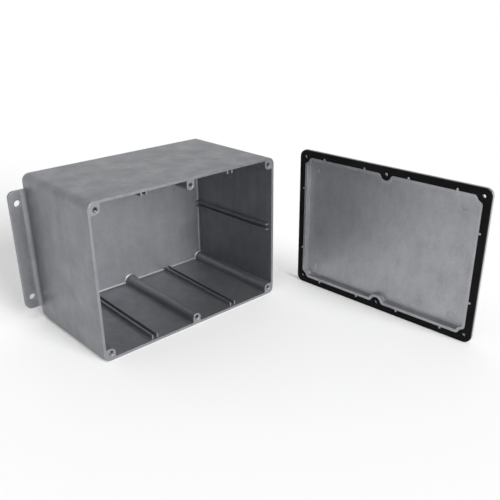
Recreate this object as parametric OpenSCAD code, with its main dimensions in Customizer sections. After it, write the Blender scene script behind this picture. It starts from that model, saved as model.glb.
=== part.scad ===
// Die cast aluminium box with mounting flanges, shown open.
// The box stands on a long side wall with its mouth towards -Y, and its lid
// stands beside it on one long edge, inside face towards the box.
// Origin: centre of the flange hole pattern, in the plane of the box's back.

/* [Body casting] */
// Length of the rim, along X
body_w = 171; // [140:1:220]
// Height of the rim, along Z
body_h = 122; // [100:1:160]
// Depth from the rim to the back of the base
body_d = 98; // [60:1:140]
// Wall thickness at the rim
wall_t = 2.1; // [1.6:0.1:3]
// Thickness of the base
base_t = 2.5; // [2:0.25:5]
// Outside radius of the four long corners
corner_r = 6; // [5:0.5:9]
// Outside radius round the back of the base
base_edge_r = 3; // [1:0.5:4.5]
// Radius of the cavity's corners where they meet the base
cavity_corner_r = 2.5; // [2:0.1:3]
// Radius between the cavity's walls and its floor
floor_r = 1.8; // [0.6:0.1:2]
// Draft angle of the cavity's walls
draft = 1.7; // [0.5:0.1:2]

/* [Mounting flanges] */
// How far each flange stands out from the end wall
flange_out = 12.8; // [10:0.2:20]
// Height of each flange
flange_h = 98; // [70:1:110]
// Thickness of the flanges
flange_t = 3; // [2:0.25:5]
// Radius of the flanges' free corners
flange_corner_r = 5; // [2:0.5:8]
// Radius between flange and end wall
flange_fillet_r = 3.5; // [1:0.5:6]
// Diameter of the flange holes
flange_hole_d = 5.5; // [4:0.1:7]
// Distance of the flange holes' axes from the end wall
flange_hole_out = 6.5; // [6:0.1:7]
// Distance of the flange holes' axes from the flange's ends
flange_hole_inset = 9.75; // [7:0.25:20]

/* [Screw bosses] */
// Distance of the lid screws' axes from the outside of the rim
screw_inset = 6; // [5.6:0.1:7]
// Radius of the bosses round the tapped holes, at the rim
boss_r = 3.6; // [3:0.1:5]
// Draft angle of the bosses
boss_draft = 1; // [0.5:0.1:1.6]
// Radius between the bosses and the cavity's floor
boss_foot_r = 1.6; // [0.5:0.1:2.2]
// Diameter of the tapped holes
tap_d = 3.3; // [2.8:0.1:3.6]
// Depth of the tapped holes
tap_depth = 14; // [9:0.5:20]
// Width of the chamfer at the mouth of the tapped holes
tap_chamfer = 0.5; // [0.2:0.1:0.8]

/* [Board guides] */
// Height of the guide ribs on the long walls
rib_h = 3.1; // [1.5:0.1:4]
// Thickness of the guide ribs
rib_t = 1.4; // [1:0.1:2]
// Distance between the two ribs of a pair, centre to centre
rib_pitch = 4.4; // [3:0.1:6]
// Distance from the rim to the front ends of the ribs on the long walls
rib_setback = 1.9; // [0.5:0.1:8]
// Height of the guide ribs on the end walls
end_rib_h = 2.5; // [1.5:0.1:4]
// Distance from the rim to the front ends of the ribs on the end walls
end_rib_setback = 4; // [0.5:0.1:8]

/* [Lid casting] */
// Thickness of the lid from gasket seat to outer face
lid_t = 5; // [4.2:0.1:8]
// Radius round the outer face of the lid
lid_edge_r = 3.8; // [1:0.2:4]
// Thickness of the sunk panel
panel_t = 2.6; // [1.8:0.1:3.2]
// Width of the gasket seat along the edge
seat_w = 5.9; // [5.5:0.1:7]
// Height of the lip above the gasket seat
lip_h = 1.7; // [1:0.1:3]
// Thickness of the lip
lip_t = 2.3; // [1.5:0.1:2.6]
// Radius of the gasket seat round each screw
lobe_r = 4.7; // [4:0.1:6]
// Radius where the round seats run out into the lip
lobe_fillet_r = 3; // [2.8:0.1:4]
// Radius of the pips that hold the gasket
pip_r = 0.8; // [0.5:0.1:1.2]
// How far the pips reach into the gasket
pip_reach = 1.9; // [1.2:0.1:2.6]
// Radius of the round ejector marks on the panel
mark_r = 3; // [1:0.25:4]
// Depth of the ejector marks
mark_depth = 0.3; // [0.1:0.1:0.8]
// Distance of the ejector marks from the screw axes along the lid
mark_inset_w = 14; // [8:0.5:30]
// Distance of the ejector marks from the screw axes across the lid
mark_inset_h = 11; // [8:0.5:30]

/* [Gasket] */
// Thickness of the gasket
gasket_t = 1.5; // [1:0.1:2.5]
// Distance of the gasket's outer edge from the lid's edge
gasket_inset = 0.3; // [0:0.1:1]
// Gap between the gasket and the lip
gasket_gap = 0.15; // [0.1:0.05:0.4]

/* [Lid screw holes] */
// Diameter of the screw holes in the lid
lid_hole_d = 4.3; // [4.2:0.1:5.4]
// Diameter of the screw holes in the gasket, which grip the screws
gasket_hole_d = 3; // [3:0.1:4.6]
// Diameter of the counterbores in the lid's outer face
counterbore_d = 7.8; // [6.5:0.1:8]
// Depth of the counterbores
counterbore_depth = 1.8; // [1:0.1:2.6]

/* [Where the lid stands] */
// Gap between the box's end wall and the middle of the lid's gasket seat
lid_aside = 41; // [25:1:80]
// How far the lid's rear end reaches behind the rim plane
lid_overlap = 3; // [-20:1:20]
// Turn of the lid about the vertical axis
lid_turn = 87; // [80:0.5:100]

/* [Hidden] */
$fn = 64;

// Screw axes, from the middle of the rim
screw_x = body_w / 2 - screw_inset;
screw_y = body_h / 2 - screw_inset;
screw_spots = [[-screw_x, screw_y], [0, screw_y], [screw_x, screw_y],
               [-screw_x, -screw_y], [0, -screw_y], [screw_x, -screw_y]];
// Flange holes, centre to centre
flange_hole_w = body_w + 2 * flange_hole_out;
flange_hole_h = flange_h - 2 * flange_hole_inset;
// Cavity, from the rim to its floor
cavity_w = body_w - 2 * wall_t;
cavity_h = body_h - 2 * wall_t;
cavity_d = body_d - base_t;
// Outline of the lip that the gasket lies round
lip_span_w = body_w - 2 * seat_w;
lip_span_h = body_h - 2 * seat_w;
// Half the point angle of the drill that makes the tapped holes
drill_half_angle = 59;
// Extra length that lets a cut run clear of a face
over = 1;

// Half of a tapered section: straight at 0, rounded at its far corner
module half_section(half, depth, r, angle) {
    round_x = half - (depth - r) * tan(angle) - r / cos(angle);
    polygon([[0, 0], [half, 0],
             [round_x + r * cos(angle), depth - r + r * sin(angle)],
             [round_x, depth - r], [round_x, depth], [0, depth]]);
    intersection() {
        translate([round_x, depth - r]) circle(r = r);
        translate([round_x, depth - r]) square(r);
    }
}

// Whole section, the same on both sides
module whole_section(half, depth, r, angle) {
    half_section(half, depth, r, angle);
    mirror([1, 0]) half_section(half, depth, r, angle);
}

// Block along Z with rounded corners, tapering from w by h at Z = 0 to a
// far end whose corners have radius end_r and whose edge has radius edge_r
module tapered_block(w, h, depth, end_r, edge_r, angle) {
    near_r = end_r + depth * tan(angle);
    axis_x = w / 2 - near_r;
    axis_y = h / 2 - near_r;
    for (sx = [-1, 1], sy = [-1, 1])
        translate([sx * axis_x, sy * axis_y, 0])
            rotate_extrude() half_section(near_r, depth, edge_r, angle);
    rotate([90, 0, 0])
        linear_extrude(2 * axis_y, center = true)
            whole_section(w / 2, depth, edge_r, angle);
    rotate([90, 0, 90])
        linear_extrude(2 * axis_x, center = true)
            whole_section(h / 2, depth, edge_r, angle);
}

// Rectangle with rounded corners
module rounded_plate(w, h, r) {
    square([w - 2 * r, h], center = true);
    square([w, h - 2 * r], center = true);
    for (sx = [-1, 1], sy = [-1, 1])
        translate([sx * (w / 2 - r), sy * (h / 2 - r)]) circle(r = r);
}

// Wall of a boss: a wedge from the screw axis outwards, its inner face
// leaning inwards with the draft
module boss_flank(length, reach) {
    growth = cavity_d * tan(boss_draft);
    rotate([90, 0, 90])
        linear_extrude(length)
            polygon([[-boss_r, 0], [reach, 0], [reach, body_d],
                     [-boss_r - growth, body_d - base_t], [-boss_r - growth, body_d]]);
}

// Round part of a boss, with the radius at its foot
module boss_core() {
    foot = boss_r + cavity_d * tan(boss_draft);
    round_x = foot - boss_foot_r * tan(boss_draft) + boss_foot_r / cos(boss_draft);
    round_z = cavity_d - boss_foot_r;
    touch_z = round_z + boss_foot_r * sin(boss_draft);
    cylinder(r1 = boss_r, r2 = foot, h = cavity_d);
    rotate_extrude()
        difference() {
            polygon([[0, touch_z], [round_x - boss_foot_r * cos(boss_draft), touch_z],
                     [round_x, round_z], [round_x, cavity_d], [0, cavity_d]]);
            translate([round_x, round_z]) circle(r = boss_foot_r);
        }
}

// Boss in the corner at +X +Y, joined to both walls
module corner_boss() {
    boss_core();
    boss_flank(screw_inset, screw_inset);
    mirror([1, -1, 0]) boss_flank(screw_inset, screw_inset);
}

// Boss in the middle of the wall at +Y, a half round with straight sides
module middle_boss() {
    growth = cavity_d * tan(boss_draft);
    boss_core();
    rotate([-90, 0, 0])
        mirror([0, 1, 0])
            linear_extrude(screw_inset)
                polygon([[-boss_r, 0], [boss_r, 0],
                         [boss_r + growth, cavity_d], [-boss_r - growth, cavity_d]]);
}

// All six bosses
module bosses() {
    for (sx = [0, 1], sy = [0, 1])
        mirror([sx, 0, 0]) mirror([0, sy, 0])
            translate([screw_x, screw_y, 0]) corner_boss();
    for (sy = [0, 1])
        mirror([0, sy, 0]) translate([0, screw_y, 0]) middle_boss();
}

// Pair of guide ribs, height high and starting setback behind the rim, on
// the wall at +Y of a cavity that is span high
module rib_pair(span, height, setback) {
    lean = cavity_d * tan(draft);
    tip = span / 2 - height;
    for (side = [-1, 1])
        translate([side * rib_pitch / 2 - rib_t / 2, 0, 0])
            rotate([90, 0, 90])
                linear_extrude(rib_t)
                    polygon([[tip - setback * tan(draft), setback],
                             [span / 2, setback], [span / 2, cavity_d],
                             [tip - lean, cavity_d]]);
}

// Guides for boards on all four walls
module guide_ribs() {
    for (sy = [0, 1], sx = [-1, 1])
        mirror([0, sy, 0])
            translate([sx * screw_x / 2, 0, 0]) rib_pair(cavity_h, rib_h, rib_setback);
    for (turn = [90, -90])
        rotate([0, 0, turn]) rib_pair(cavity_w, end_rib_h, end_rib_setback);
}

// Space inside the box, as the die's core leaves it
module cavity() {
    difference() {
        tapered_block(cavity_w, cavity_h, cavity_d, cavity_corner_r, floor_r, draft);
        bosses();
        guide_ribs();
    }
}

// Flange plate across the back, with a fillet along each end wall
module flanges() {
    translate([0, 0, body_d - flange_t])
        linear_extrude(flange_t)
            rounded_plate(body_w + 2 * flange_out, flange_h, flange_corner_r);
    for (side = [0, 1])
        mirror([side, 0, 0])
            translate([body_w / 2, 0, body_d - flange_t])
                rotate([90, 0, 0])
                    linear_extrude(flange_h, center = true)
                        difference() {
                            translate([-over, -flange_fillet_r])
                                square([flange_fillet_r + over, flange_fillet_r + over]);
                            translate([flange_fillet_r, -flange_fillet_r])
                                circle(r = flange_fillet_r);
                        }
}

// Tapped hole with a chamfered mouth and a drill point
module tapped_hole() {
    translate([0, 0, -over]) cylinder(d = tap_d, h = tap_depth + over);
    cylinder(d1 = tap_d + 2 * tap_chamfer, d2 = tap_d, h = tap_chamfer);
    translate([0, 0, tap_depth]) cylinder(d1 = tap_d, d2 = 0, h = tap_d / 2 / tan(drill_half_angle));
}

// Body casting, mouth at Z = 0 and back at Z = body_d
module body_casting() {
    difference() {
        union() {
            tapered_block(body_w, body_h, body_d, corner_r, base_edge_r, 0);
            flanges();
        }
        cavity();
        for (spot = screw_spots) translate(spot) tapped_hole();
        for (sx = [-1, 1], sy = [-1, 1])
            translate([sx * flange_hole_w / 2, sy * flange_hole_h / 2,
                       body_d - flange_t - over])
                cylinder(d = flange_hole_d, h = flange_t + 2 * over);
    }
}

// Round seat cut into the lip's outline at a corner screw (at +X +Y).
// half_w and half_h are the outline's half sizes, grow moves the outline out.
module corner_lobe(half_w, half_h, grow) {
    r = lobe_r - grow;
    f = lobe_fillet_r + grow;
    top_x = screw_x - sqrt(pow(r + f, 2) - pow(screw_y - half_h + f, 2));
    side_y = screw_y - sqrt(pow(r + f, 2) - pow(screw_x - half_w + f, 2));
    difference() {
        union() {
            translate([screw_x, screw_y]) circle(r = r);
            polygon([[screw_x, screw_y], [top_x, half_h - f], [top_x, half_h + over],
                     [half_w + over, half_h + over], [half_w + over, side_y],
                     [half_w - f, side_y]]);
        }
        translate([top_x, half_h - f]) circle(r = f);
        translate([half_w - f, side_y]) circle(r = f);
    }
}

// Round seat cut into the lip's outline at a middle screw (at +Y)
module middle_lobe(half_h, grow) {
    r = lobe_r - grow;
    f = lobe_fillet_r + grow;
    side_x = sqrt(pow(r + f, 2) - pow(screw_y - half_h + f, 2));
    difference() {
        union() {
            translate([0, screw_y]) circle(r = r);
            polygon([[0, screw_y], [side_x, half_h - f], [side_x, half_h + over],
                     [-side_x, half_h + over], [-side_x, half_h - f]]);
        }
        for (side = [-1, 1]) translate([side * side_x, half_h - f]) circle(r = f);
    }
}

// Outline of the lip, moved outwards by grow
module lip_outline(grow) {
    half_w = lip_span_w / 2 + grow;
    half_h = lip_span_h / 2 + grow;
    difference() {
        square([2 * half_w, 2 * half_h], center = true);
        for (sx = [0, 1], sy = [0, 1])
            mirror([sx, 0]) mirror([0, sy]) corner_lobe(half_w, half_h, grow);
        for (sy = [0, 1])
            mirror([0, sy]) middle_lobe(half_h, grow);
    }
}

// Pips along the outside of the lip, made larger by grow
module pips(grow) {
    for (sy = [0, 1], step = [-3, -1, 1, 3])
        mirror([0, sy]) translate([step * screw_x / 4, lip_span_h / 2]) pip(grow);
    for (turn = [90, -90], step = [-1, 1])
        rotate(turn) translate([step * screw_y / 2, lip_span_w / 2]) pip(grow);
}

// One pip, reaching out along +Y from the lip's face
module pip(grow) {
    reach = pip_reach - pip_r;
    translate([0, reach]) circle(r = pip_r + grow);
    translate([-pip_r - grow, -lip_t / 2]) square([2 * (pip_r + grow), reach + lip_t / 2]);
}

// Lid casting, gasket seat at Z = 0 and outer face at Z = -lid_t
module lid_casting() {
    panel_z = panel_t - lid_t;
    difference() {
        union() {
            mirror([0, 0, 1])
                tapered_block(body_w, body_h, lid_t, corner_r, lid_edge_r, 0);
            translate([0, 0, -over]) linear_extrude(lip_h + over) lip_outline(0);
            translate([0, 0, -over]) linear_extrude(lip_h + over) pips(0);
        }
        translate([0, 0, panel_z]) linear_extrude(lid_t + lip_h) lip_outline(-lip_t);
        for (sx = [-1, 1], sy = [-1, 1])
            translate([sx * (screw_x - mark_inset_w), sy * (screw_y - mark_inset_h),
                       panel_z - mark_depth])
                cylinder(r = mark_r, h = mark_depth + over);
        for (spot = screw_spots) translate(spot) {
            translate([0, 0, -lid_t - over])
                cylinder(d = lid_hole_d, h = lid_t + 2 * over);
            translate([0, 0, -lid_t - over])
                cylinder(d = counterbore_d, h = counterbore_depth + over);
        }
    }
}

// Flat gasket on the seat, round the lip and its pips
module gasket_sheet() {
    difference() {
        linear_extrude(gasket_t)
            rounded_plate(body_w - 2 * gasket_inset, body_h - 2 * gasket_inset,
                          corner_r - gasket_inset);
        translate([0, 0, -over]) linear_extrude(gasket_t + 2 * over) {
            lip_outline(gasket_gap);
            pips(gasket_gap);
        }
        for (spot = screw_spots)
            translate([spot[0], spot[1], -over])
                cylinder(d = gasket_hole_d, h = gasket_t + 2 * over);
    }
}

// Stand the box up: mouth towards -Y, back in the plane Y = 0
module stand_box() {
    translate([0, -body_d, 0]) rotate([-90, 0, 0]) children();
}

// Stand the lid up beside the box, turned to face it
module stand_lid() {
    translate([body_w / 2 + lid_aside, lid_overlap - body_d - body_w / 2, 0])
        rotate([0, 0, -lid_turn]) rotate([90, 0, 0]) children();
}

module body() {
    color([0.56, 0.57, 0.58]) stand_box() body_casting();
}

module lid() {
    color([0.6, 0.61, 0.62]) stand_lid() lid_casting();
}

module gasket() {
    color([0.08, 0.08, 0.08]) stand_lid() gasket_sheet();
}

body();
lid();
gasket();
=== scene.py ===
"""Dresses the die cast aluminium box: cast metal, rubber gasket, threads, floor, lights, camera.

The box's metal, the lid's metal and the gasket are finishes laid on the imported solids.
The threads are a piece of their own, because the solids have plain holes.
"""

import math

import bpy
from bpy.props import FloatProperty, FloatVectorProperty, IntProperty, PointerProperty
from mathutils import Euler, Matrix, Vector


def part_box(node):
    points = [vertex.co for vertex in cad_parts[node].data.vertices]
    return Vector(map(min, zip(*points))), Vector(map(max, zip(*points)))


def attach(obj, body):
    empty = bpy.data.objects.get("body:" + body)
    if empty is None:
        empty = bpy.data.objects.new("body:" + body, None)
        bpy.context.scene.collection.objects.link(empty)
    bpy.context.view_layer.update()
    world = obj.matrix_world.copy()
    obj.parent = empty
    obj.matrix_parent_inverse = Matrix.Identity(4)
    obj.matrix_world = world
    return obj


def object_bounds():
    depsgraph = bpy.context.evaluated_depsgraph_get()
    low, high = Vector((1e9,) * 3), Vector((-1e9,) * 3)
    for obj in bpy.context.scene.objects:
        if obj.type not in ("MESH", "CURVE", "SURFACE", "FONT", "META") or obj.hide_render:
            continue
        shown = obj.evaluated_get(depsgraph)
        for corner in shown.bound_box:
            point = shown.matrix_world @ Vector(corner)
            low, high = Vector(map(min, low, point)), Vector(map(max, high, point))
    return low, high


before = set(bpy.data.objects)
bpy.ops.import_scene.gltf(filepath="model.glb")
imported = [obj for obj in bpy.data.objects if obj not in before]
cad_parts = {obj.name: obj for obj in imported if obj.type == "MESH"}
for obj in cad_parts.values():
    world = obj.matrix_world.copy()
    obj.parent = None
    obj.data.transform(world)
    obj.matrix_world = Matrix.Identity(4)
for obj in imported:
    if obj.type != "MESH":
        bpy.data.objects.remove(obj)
CAD_LOW, CAD_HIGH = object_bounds()
BODY_LOW, BODY_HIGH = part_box("body")

bl_info = {
    "name": "Die Cast Box Finish",
    "version": (1, 0, 0),
    "blender": (4, 5, 0),
    "location": "3D View > Sidebar > Cast Box",
    "description": "Gives a die cast aluminium box its cast skin, rubber gasket, threads and studio",
    "category": "Object",
}

# Distance of the tapped holes' axes from the outside of the rim, as on the solids
SCREW_INSET = 0.006
# Half of the rim's length, which the flanges on both ends stand out from
RIM_HALF = 0.0855

# Share of the pitch that half a thread's foot takes, and of that half its crest
FOOT_SHARE = 0.42
CREST_SHARE = 0.18
# How far the thread's foot is let into the hole's wall
FOOT_DEPTH = 0.00003
# Straight steps in one turn of the thread
THREAD_STEPS = 28

# How metallic the cast skin is: its oxide leaves the rest matt
CAST_METALLIC = 0.82
# Height and strength of the cast skin's fine relief
CAST_RELIEF = 0.00012
CAST_RELIEF_STRENGTH = 0.22
# What an edge gains in lightness, partly as rubbed wear and partly as a painted highlight, and what
# a rubbed edge loses in roughness
EDGE_WEAR_AND_HIGHLIGHT_LIGHTER = 0.16
WEAR_SMOOTHER = 0.1

# Side of the floor
FLOOR_SIZE = 60.0
# Where the lamps shine from, seen from the middle of the object
KEY_FROM = Vector((-0.25, -0.35, 1.1))
FILL_FROM = Vector((0.05, -1.25, 0.45))
# The camera's place and turn, and its lens
CAMERA_PLACE = Vector((-0.278019, -0.463661, 0.194002))
CAMERA_TURN = Euler((1.141112, 0.00654, -0.748796))
CAMERA_LENS = 46.4594
CAMERA_SENSOR = 36.0
CAMERA_SHIFT = (-0.002467, 0.044531)


# ---------------------------------------------------------------- settings

class CastMetalSettings(bpy.types.PropertyGroup):
    """Finish of the two castings"""
    body_color: FloatVectorProperty(
        name="Body Colour", description="Colour of the body's cast skin",
        default=(0.255, 0.26, 0.275), size=3, min=0.0, max=1.0, subtype="COLOR")
    lid_color: FloatVectorProperty(
        name="Lid Colour", description="Colour of the lid's cast skin",
        default=(0.413, 0.42, 0.443), size=3, min=0.0, max=1.0, subtype="COLOR")
    roughness: FloatProperty(
        name="Roughness", description="How dull the cast skin is",
        default=0.46, min=0.2, max=0.9, subtype="FACTOR")
    mottle_size: FloatProperty(
        name="Mottle Size", description="Width of the cloudy patches in the skin",
        default=0.016, min=0.005, max=0.1, unit="LENGTH")
    grain_size: FloatProperty(
        name="Grain Size", description="Width of the finest grain in the skin",
        default=0.0007, min=0.0002, max=0.005, unit="LENGTH")
    # Width of the band painted lighter along every edge, partly rubbed wear and partly a painted
    # highlight; it also sets how far the edges look rounded
    wear_and_highlight_width: FloatProperty(
        name="Edge Wear Width", description="How far the bright rubbed line reaches from an edge",
        default=0.0004, min=0.0001, max=0.003, unit="LENGTH")


class GasketSettings(bpy.types.PropertyGroup):
    """Finish of the gasket"""
    color: FloatVectorProperty(
        name="Rubber Colour", description="Colour of the gasket's rubber",
        default=(0.006, 0.006, 0.0065), size=3, min=0.0, max=1.0, subtype="COLOR")
    roughness: FloatProperty(
        name="Roughness", description="How dull the rubber is",
        default=0.85, min=0.2, max=1.0, subtype="FACTOR")
    pore_size: FloatProperty(
        name="Pore Size", description="Width of the rubber's fine pores",
        default=0.0006, min=0.0002, max=0.003, unit="LENGTH")


class ThreadSettings(bpy.types.PropertyGroup):
    """Sizes of the threads in the tapped holes"""
    hole_radius: FloatProperty(
        name="Hole Radius", description="Radius of the plain hole that the thread lines",
        default=0.00165, min=0.001, max=0.003, unit="LENGTH")
    pitch: FloatProperty(
        name="Pitch", description="Rise of the thread in one turn",
        default=0.0007, min=0.0004, max=0.0015, unit="LENGTH")
    crest: FloatProperty(
        name="Crest Height", description="How far the thread stands in from the hole's wall",
        default=0.0002, min=0.00005, max=0.0004, unit="LENGTH")
    start: FloatProperty(
        name="Start Depth", description="Depth under the rim where the thread begins",
        default=0.0009, min=0.0, max=0.003, unit="LENGTH")
    turns: IntProperty(
        name="Turns", description="Number of turns in each hole",
        default=16, min=4, max=20)


class StudioSettings(bpy.types.PropertyGroup):
    """Floor and light"""
    floor_color: FloatVectorProperty(
        name="Floor Colour", description="Colour of the pale floor",
        default=(0.93, 0.93, 0.93), size=3, min=0.0, max=1.0, subtype="COLOR")
    level_light: FloatProperty(
        name="Level Light", description="Strength of the surrounding light from every side",
        default=0.096, min=0.0, max=2.0)
    top_light: FloatProperty(
        name="Overhead Light", description="What the surrounding light gains straight above",
        default=0.08, min=0.0, max=2.0)
    back_light: FloatProperty(
        name="Back Light", description="What it gains behind the box",
        default=0.776, min=0.0, max=2.0)
    left_light: FloatProperty(
        name="Left Light", description="What it gains on the left of the box",
        default=0.08, min=0.0, max=2.0)
    right_light: FloatProperty(
        name="Right Light", description="What it gains on the right of the box",
        default=0.28, min=0.0, max=2.0)
    floor_glow: FloatProperty(
        name="Floor Glow", description="What brings the floor up to white where it is seen",
        default=0.04, min=0.0, max=1.0)
    key_strength: FloatProperty(
        name="Key Lamp", description="Strength of the wide, distant lamp overhead",
        default=0.81, min=0.0, max=10.0)
    key_spread: FloatProperty(
        name="Key Width", description="How wide the overhead lamp looks from the box",
        default=math.radians(42.0), min=0.0, max=math.pi, unit="ROTATION")
    fill_strength: FloatProperty(
        name="Fill Lamp", description="Strength of the wide, distant lamp in front of the mouth",
        default=3.84, min=0.0, max=10.0)
    fill_spread: FloatProperty(
        name="Fill Width", description="How wide the front lamp looks from the box",
        default=math.radians(33.5), min=0.0, max=math.pi, unit="ROTATION")


# ---------------------------------------------------------------- shared steps

def deselect_all():
    """Leave nothing selected and nothing active"""
    if bpy.context.object and bpy.context.object.mode != "OBJECT":
        bpy.ops.object.mode_set(mode="OBJECT")
    bpy.ops.object.select_all(action="DESELECT")
    bpy.context.view_layer.objects.active = None


def make_only(piece):
    """Select one object and make it the active one"""
    deselect_all()
    piece.select_set(True)
    bpy.context.view_layer.objects.active = piece


def new_material(name):
    """An empty node material with its output and its principled shader"""
    material = bpy.data.materials.new(name)
    material.use_nodes = True
    tree = material.node_tree
    tree.nodes.clear()
    output = tree.nodes.new("ShaderNodeOutputMaterial")
    skin = tree.nodes.new("ShaderNodeBsdfPrincipled")
    tree.links.new(skin.outputs["BSDF"], output.inputs["Surface"])
    return material, tree, skin


def noise(tree, place, size, detail, rough):
    """Noise whose blotches are about size metres wide, read from place"""
    node = tree.nodes.new("ShaderNodeTexNoise")
    node.inputs["Scale"].default_value = 1.0 / size
    node.inputs["Detail"].default_value = detail
    node.inputs["Roughness"].default_value = rough
    tree.links.new(place, node.inputs["Vector"])
    return node.outputs["Fac"]


def spread(tree, value, low, high, to_low, to_high):
    """Map value from one range to another, held at both ends"""
    node = tree.nodes.new("ShaderNodeMapRange")
    node.inputs["From Min"].default_value = low
    node.inputs["From Max"].default_value = high
    node.inputs["To Min"].default_value = to_low
    node.inputs["To Max"].default_value = to_high
    tree.links.new(value, node.inputs["Value"])
    return node.outputs["Result"]


def sum_of(tree, operation, first, second):
    """Join two values, or a value and a number, by a Math node"""
    node = tree.nodes.new("ShaderNodeMath")
    node.operation = operation
    for socket, value in zip(node.inputs, (first, second)):
        if isinstance(value, (int, float)):
            socket.default_value = value
        else:
            tree.links.new(value, socket)
    return node.outputs["Value"]


def cast_metal(name, color, settings, streak_axis):
    """Cast aluminium: cloudy patches, drawn-out streaks, fine grain, and every edge painted lighter,
    partly as rubbed wear and partly as a painted highlight
    """
    material, tree, skin = new_material(name)
    place = tree.nodes.new("ShaderNodeTexCoord").outputs["Object"]
    flow = tree.nodes.new("ShaderNodeMapping")
    flow.inputs["Scale"].default_value = streak_axis
    tree.links.new(place, flow.inputs["Vector"])

    clouds = noise(tree, place, settings.mottle_size, 4.0, 0.55)
    streaks = noise(tree, flow.outputs["Vector"], settings.mottle_size * 0.35, 3.0, 0.6)
    specks = noise(tree, place, settings.grain_size * 3.0, 3.0, 0.6)
    grain = noise(tree, place, settings.grain_size, 2.0, 0.5)

    # A bevelled normal parts from the true one only near an edge
    soft = tree.nodes.new("ShaderNodeBevel")
    soft.samples = 6
    soft.inputs["Radius"].default_value = settings.wear_and_highlight_width
    true = tree.nodes.new("ShaderNodeNewGeometry")
    dot = tree.nodes.new("ShaderNodeVectorMath")
    dot.operation = "DOT_PRODUCT"
    tree.links.new(soft.outputs["Normal"], dot.inputs[0])
    tree.links.new(true.outputs["Normal"], dot.inputs[1])
    # Every edge, inner corners too, is painted lighter from here: partly rubbed wear, partly a
    # painted highlight line
    edge_wear_and_highlight = spread(tree, dot.outputs["Value"], 0.999, 0.90, 0.0, 1.0)

    tone = sum_of(tree, "ADD", spread(tree, clouds, 0.3, 0.7, 0.92, 1.06),
                  spread(tree, streaks, 0.35, 0.7, -0.045, 0.055))
    tone = sum_of(tree, "ADD", tone, spread(tree, specks, 0.3, 0.7, -0.06, 0.06))
    # The edge band lightens the colour, as rubbed wear and as a painted highlight
    tone = sum_of(tree, "ADD", tone, sum_of(tree, "MULTIPLY", edge_wear_and_highlight, EDGE_WEAR_AND_HIGHLIGHT_LIGHTER))
    tint = tree.nodes.new("ShaderNodeMix")
    tint.data_type = "RGBA"
    tint.blend_type = "MULTIPLY"
    tint.inputs["Factor"].default_value = 1.0
    tint.inputs["A"].default_value = (*color, 1.0)
    joined = tree.nodes.new("ShaderNodeCombineColor")
    for channel in ("Red", "Green", "Blue"):
        tree.links.new(tone, joined.inputs[channel])
    tree.links.new(joined.outputs["Color"], tint.inputs["B"])
    tree.links.new(tint.outputs["Result"], skin.inputs["Base Color"])

    dull = spread(tree, clouds, 0.3, 0.7, settings.roughness + 0.06, settings.roughness - 0.05)
    dull = sum_of(tree, "ADD", dull, spread(tree, specks, 0.3, 0.7, -0.03, 0.03))
    dull = sum_of(tree, "SUBTRACT", dull, sum_of(tree, "MULTIPLY", edge_wear_and_highlight, WEAR_SMOOTHER))
    tree.links.new(dull, skin.inputs["Roughness"])

    bump = tree.nodes.new("ShaderNodeBump")
    bump.inputs["Strength"].default_value = CAST_RELIEF_STRENGTH
    bump.inputs["Distance"].default_value = CAST_RELIEF
    height = sum_of(tree, "ADD", grain, sum_of(tree, "MULTIPLY", specks, 1.4))
    tree.links.new(height, bump.inputs["Height"])
    tree.links.new(soft.outputs["Normal"], bump.inputs["Normal"])
    tree.links.new(bump.outputs["Normal"], skin.inputs["Normal"])
    skin.inputs["Metallic"].default_value = CAST_METALLIC
    return material


def black_rubber(settings):
    """Dull black rubber with fine pores and a faint dusty bloom"""
    material, tree, skin = new_material("black_rubber")
    place = tree.nodes.new("ShaderNodeTexCoord").outputs["Object"]
    pores = noise(tree, place, settings.pore_size, 3.0, 0.6)
    bloom = noise(tree, place, settings.pore_size * 30.0, 3.0, 0.5)
    tint = tree.nodes.new("ShaderNodeMix")
    tint.data_type = "RGBA"
    tint.inputs["A"].default_value = (*settings.color, 1.0)
    tint.inputs["B"].default_value = (*(2.2 * c for c in settings.color), 1.0)
    tree.links.new(spread(tree, bloom, 0.4, 0.75, 0.0, 1.0), tint.inputs["Factor"])
    tree.links.new(tint.outputs["Result"], skin.inputs["Base Color"])
    tree.links.new(spread(tree, bloom, 0.3, 0.7, settings.roughness - 0.05,
                          settings.roughness + 0.08), skin.inputs["Roughness"])
    bump = tree.nodes.new("ShaderNodeBump")
    bump.inputs["Strength"].default_value = 0.25
    bump.inputs["Distance"].default_value = 0.0001
    tree.links.new(pores, bump.inputs["Height"])
    tree.links.new(bump.outputs["Normal"], skin.inputs["Normal"])
    skin.inputs["Specular IOR Level"].default_value = 0.12
    return material


def dress(node, material):
    """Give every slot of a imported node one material"""
    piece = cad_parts[node]
    if not piece.material_slots:
        piece.data.materials.append(material)
    for slot in piece.material_slots:
        slot.material = material


# ---------------------------------------------------------------- operators

class CASTBOX_OT_body_finish(bpy.types.Operator):
    """Lay the cast skin on the box body, with upright streaks"""
    bl_idname = "castbox.body_finish"
    bl_label = "Body Finish"

    def execute(self, context):
        settings = context.scene.castbox_metal
        dress("body", cast_metal("body_cast_aluminium", settings.body_color, settings,
                                 (1.0, 1.0, 0.16)))
        return {"FINISHED"}


class CASTBOX_OT_lid_finish(bpy.types.Operator):
    """Lay the cast skin on the lid"""
    bl_idname = "castbox.lid_finish"
    bl_label = "Lid Finish"

    def execute(self, context):
        settings = context.scene.castbox_metal
        dress("lid", cast_metal("lid_cast_aluminium", settings.lid_color, settings,
                                (1.0, 1.0, 0.4)))
        return {"FINISHED"}


class CASTBOX_OT_gasket_finish(bpy.types.Operator):
    """Lay dull black rubber on the gasket"""
    bl_idname = "castbox.gasket_finish"
    bl_label = "Gasket Finish"

    def execute(self, context):
        dress("gasket", black_rubber(context.scene.castbox_gasket))
        return {"FINISHED"}


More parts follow.
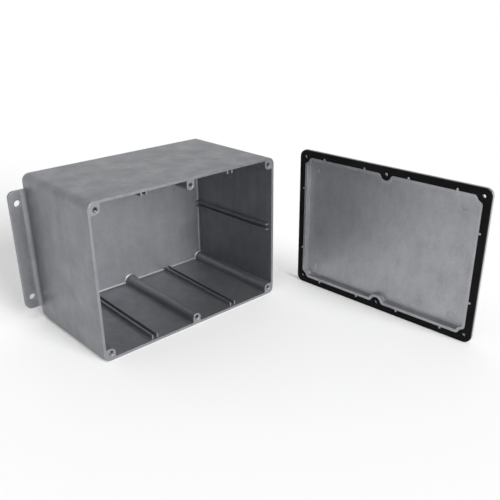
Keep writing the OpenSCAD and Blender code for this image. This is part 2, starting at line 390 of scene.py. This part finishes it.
class CASTBOX_OT_tapped_threads(bpy.types.Operator):
    """Line the six tapped holes of the rim with threads"""
    bl_idname = "castbox.tapped_threads"
    bl_label = "Tapped Threads"

    def execute(self, context):
        settings = context.scene.castbox_thread
        wall = settings.hole_radius
        inner = wall - settings.crest
        half = settings.pitch * FOOT_SHARE

        # One ridge's section is drawn as a plane beside the axis, then wound up
        deselect_all()
        bpy.ops.mesh.primitive_plane_add(size=1.0, location=(0.0, 0.0, 0.0))
        ridge = context.object
        corners = ((wall + FOOT_DEPTH, 0.0, -half), (inner, 0.0, -half * CREST_SHARE),
                   (inner, 0.0, half * CREST_SHARE), (wall + FOOT_DEPTH, 0.0, half))
        order = (0, 1, 3, 2)
        for vertex, corner in zip(order, corners):
            ridge.data.vertices[vertex].co = corner
        make_only(ridge)
        winding = ridge.modifiers.new("Winding", "SCREW")
        winding.axis = "Z"
        winding.screw_offset = settings.pitch
        winding.iterations = settings.turns
        winding.steps = THREAD_STEPS
        winding.render_steps = THREAD_STEPS
        winding.use_merge_vertices = False
        winding.use_smooth_shade = True
        bpy.ops.object.modifier_apply(modifier=winding.name)
        bpy.ops.object.mode_set(mode="EDIT")
        bpy.ops.mesh.select_all(action="SELECT")
        bpy.ops.mesh.remove_doubles(threshold=0.000002)
        bpy.ops.mesh.normals_make_consistent(inside=False)
        bpy.ops.object.mode_set(mode="OBJECT")

        # Turned so that it winds away from the rim, into the box
        ridge.rotation_euler = (math.radians(-90.0), 0.0, 0.0)
        copies = []
        screw_x = RIM_HALF - SCREW_INSET
        screw_z = BODY_HIGH.z - SCREW_INSET
        for x in (-screw_x, 0.0, screw_x):
            for z in (-screw_z, screw_z):
                copy = ridge.copy()
                copy.data = ridge.data.copy()
                context.collection.objects.link(copy)
                copy.location = (x, BODY_LOW.y + settings.start, z)
                copies.append(copy)
        bpy.data.objects.remove(ridge)

        deselect_all()
        for copy in copies:
            copy.select_set(True)
        context.view_layer.objects.active = copies[0]
        bpy.ops.object.join()
        threads = context.object
        threads.name = "tapped_threads"
        bpy.ops.object.transform_apply(location=True, rotation=True, scale=True)
        bpy.ops.object.shade_smooth_by_angle(angle=math.radians(40.0))
        threads.data.materials.clear()
        threads.data.materials.append(bpy.data.materials["body_cast_aluminium"])
        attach(threads, "root")
        return {"FINISHED"}


class CASTBOX_OT_studio(bpy.types.Operator):
    """Set the pale floor, the soft lamps, the surrounding light and the camera"""
    bl_idname = "castbox.studio"
    bl_label = "Studio"

    def execute(self, context):
        settings = context.scene.castbox_studio
        centre = (CAD_LOW + CAD_HIGH) / 2

        deselect_all()
        bpy.ops.mesh.primitive_plane_add(size=FLOOR_SIZE,
                                         location=(centre.x, centre.y, CAD_LOW.z))
        floor = context.object
        floor.name = "studio_floor"
        bpy.ops.object.transform_apply(location=True, rotation=True, scale=True)
        material, tree, skin = new_material("pale_floor")
        skin.inputs["Base Color"].default_value = (*settings.floor_color, 1.0)
        skin.inputs["Roughness"].default_value = 0.95
        skin.inputs["Specular IOR Level"].default_value = 0.0
        glow = tree.nodes.new("ShaderNodeEmission")
        ray = tree.nodes.new("ShaderNodeLightPath")
        seen = sum_of(tree, "MAXIMUM", ray.outputs["Is Camera Ray"], ray.outputs["Is Glossy Ray"])
        seen = sum_of(tree, "MAXIMUM", seen, ray.outputs["Is Transmission Ray"])
        tree.links.new(sum_of(tree, "MULTIPLY", seen, settings.floor_glow), glow.inputs["Strength"])
        both = tree.nodes.new("ShaderNodeAddShader")
        tree.links.new(skin.outputs["BSDF"], both.inputs[0])
        tree.links.new(glow.outputs["Emission"], both.inputs[1])
        output = next(n for n in tree.nodes if n.type == "OUTPUT_MATERIAL")
        tree.links.new(both.outputs["Shader"], output.inputs["Surface"])
        floor.data.materials.append(material)

        world = bpy.data.worlds.new("studio_world")
        context.scene.world = world
        world.use_nodes = True
        tree = world.node_tree
        tree.nodes.clear()
        output = tree.nodes.new("ShaderNodeOutputWorld")
        sky = tree.nodes.new("ShaderNodeBackground")
        sky.inputs["Color"].default_value = (1.0, 1.0, 1.0, 1.0)
        ray = tree.nodes.new("ShaderNodeLightPath")
        # A level light, and what each side and the space above add to it
        way = tree.nodes.new("ShaderNodeSeparateXYZ")
        tree.links.new(tree.nodes.new("ShaderNodeTexCoord").outputs["Generated"],
                       way.inputs["Vector"])
        level = settings.level_light
        for axis, end, gain in (("Z", 1.0, settings.top_light),
                                ("Y", 1.0, settings.back_light),
                                ("X", -1.0, settings.left_light),
                                ("X", 1.0, settings.right_light)):
            side = spread(tree, way.outputs[axis], 0.0, end, 0.0, gain)
            level = sum_of(tree, "ADD", side, level)
        plain = tree.nodes.new("ShaderNodeMix")
        plain.data_type = "FLOAT"
        tree.links.new(ray.outputs["Is Camera Ray"], plain.inputs["Factor"])
        tree.links.new(level, plain.inputs["A"])
        plain.inputs["B"].default_value = 1.0
        tree.links.new(plain.outputs["Result"], sky.inputs["Strength"])
        tree.links.new(sky.outputs["Background"], output.inputs["Surface"])

        for name, strength, width, offset in (
                ("key_lamp", settings.key_strength, settings.key_spread, KEY_FROM),
                ("fill_lamp", settings.fill_strength, settings.fill_spread, FILL_FROM)):
            deselect_all()
            bpy.ops.object.light_add(type="SUN", location=centre + offset)
            lamp = context.object
            lamp.name = name
            lamp.data.energy = strength
            lamp.data.angle = width
            lamp.rotation_euler = (-offset).to_track_quat("-Z", "Y").to_euler()

        deselect_all()
        bpy.ops.object.camera_add(location=CAMERA_PLACE, rotation=CAMERA_TURN)
        camera = context.object
        camera.name = "view_camera"
        camera.data.sensor_width = CAMERA_SENSOR
        camera.data.lens = CAMERA_LENS
        camera.data.shift_x, camera.data.shift_y = CAMERA_SHIFT
        camera.data.clip_start = 0.01
        context.scene.camera = camera
        context.scene.view_settings.view_transform = "Standard"
        return {"FINISHED"}


class CASTBOX_PT_panel(bpy.types.Panel):
    """Steps and settings of the cast box"""
    bl_label = "Cast Box"
    bl_idname = "CASTBOX_PT_panel"
    bl_space_type = "VIEW_3D"
    bl_region_type = "UI"
    bl_category = "Cast Box"

    def draw(self, context):
        for operator in STEPS:
            self.layout.operator(operator.bl_idname)
        for group in GROUPS:
            settings = getattr(context.scene, GROUPS[group])
            column = self.layout.column()
            for name in group.__annotations__:
                column.prop(settings, name)


STEPS = (CASTBOX_OT_body_finish, CASTBOX_OT_lid_finish, CASTBOX_OT_gasket_finish,
         CASTBOX_OT_tapped_threads, CASTBOX_OT_studio)
GROUPS = {CastMetalSettings: "castbox_metal", GasketSettings: "castbox_gasket",
          ThreadSettings: "castbox_thread", StudioSettings: "castbox_studio"}


def register():
    for group, name in GROUPS.items():
        bpy.utils.register_class(group)
        setattr(bpy.types.Scene, name, PointerProperty(type=group))
    for operator in STEPS:
        bpy.utils.register_class(operator)
    bpy.utils.register_class(CASTBOX_PT_panel)


def unregister():
    bpy.utils.unregister_class(CASTBOX_PT_panel)
    for operator in reversed(STEPS):
        bpy.utils.unregister_class(operator)
    for group, name in GROUPS.items():
        delattr(bpy.types.Scene, name)
        bpy.utils.unregister_class(group)


def main():
    """Register the add-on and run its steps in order"""
    register()
    bpy.ops.castbox.body_finish()
    bpy.ops.castbox.lid_finish()
    bpy.ops.castbox.gasket_finish()
    bpy.ops.castbox.tapped_threads()
    bpy.ops.castbox.studio()


if __name__ == "__main__":
    main()
